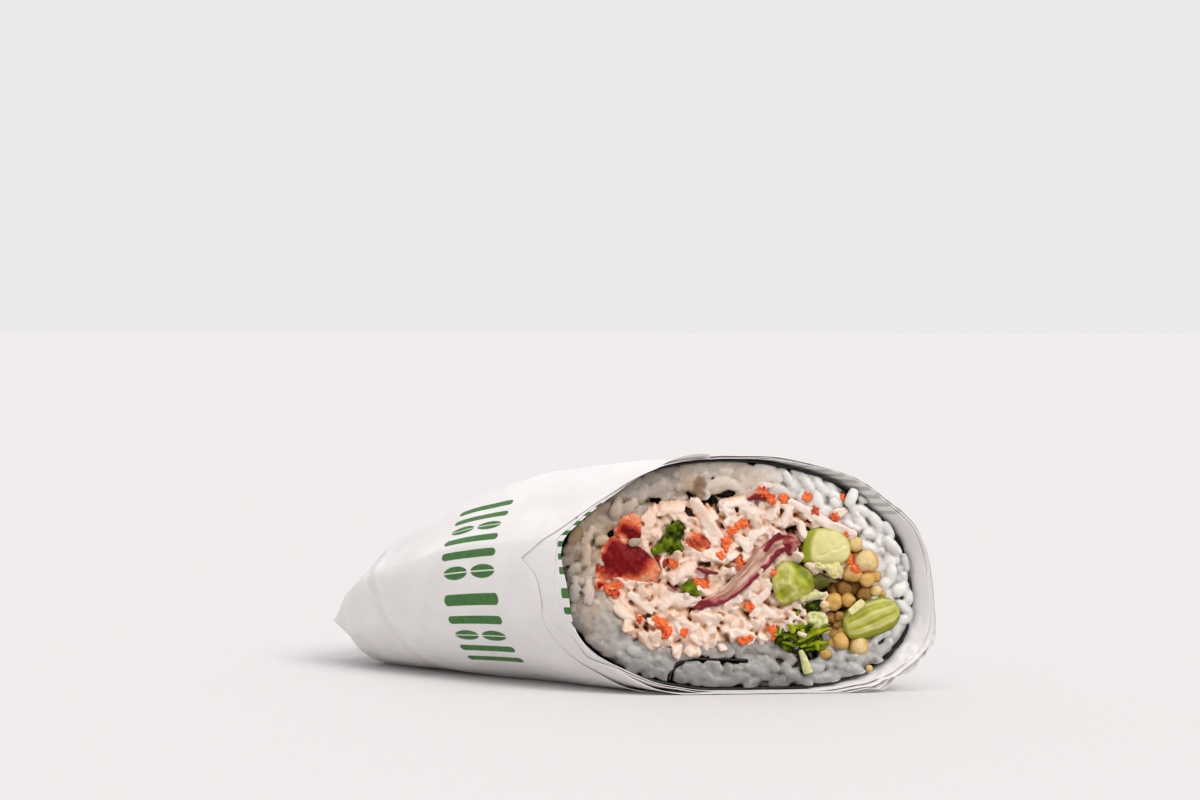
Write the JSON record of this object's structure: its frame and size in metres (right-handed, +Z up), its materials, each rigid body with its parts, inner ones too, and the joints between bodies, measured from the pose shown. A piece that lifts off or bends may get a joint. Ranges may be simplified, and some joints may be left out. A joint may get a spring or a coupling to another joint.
{
  "type": "sushi burrito",
  "caption": "Cut half of a seaweed and rice roll filled with crab salad, tuna, onion, beans and herbs, lying in its folded paper wrapper with the slanted cut face open.",
  "frame": {"origin": "on the surface the roll lies on, under the middle of its box", "axes": "+X along the roll from the folded end of the wrapper to the cut; +Z up; the slanting cut face looks towards +X and -Y"},
  "size_m": [0.1602, 0.0638, 0.0579],
  "materials": {
    "paper": "plain white wrapping paper",
    "printed_paper": "white wrapping paper with a green pattern",
    "seaweed": "near-black dried seaweed",
    "rice": "moist white rice",
    "crab_salad": "creamy pinkish white shreds with orange roe",
    "tuna": "raw red fish, pale at its edges",
    "red_onion": "pinkish beige with crimson skin edges",
    "edamame": "yellow-green bean",
    "edamame_dark": "dark green bean",
    "pale_green": "pale green stalk",
    "crunch_pearl": "tan crisp pearls",
    "herb": "dark green herb leaf"
  },
  "bodies": {
    "root": {"paper_outer": "paper", "paper_middle": "paper", "paper_inner": "printed_paper", "seaweed_sheet": "seaweed", "rice_layer": "rice", "crab_salad": "crab_salad", "tuna_chunk_large": "tuna", "tuna_chunk_small": "tuna", "red_onion_long": "red_onion", "red_onion_top": "red_onion", "red_onion_thin": "red_onion", "edamame_cut": "edamame", "edamame_crinkled": "edamame", "edamame_striped": "edamame", "edamame_dark": "edamame_dark", "pale_green_slice": "pale_green", "pale_stem": "pale_green", "crunch_pearls": "crunch_pearl", "herb_leaf_upper": "herb", "herb_leaf_lower": "herb", "herb_bunch": "herb"}
  },
  "joints": []
}
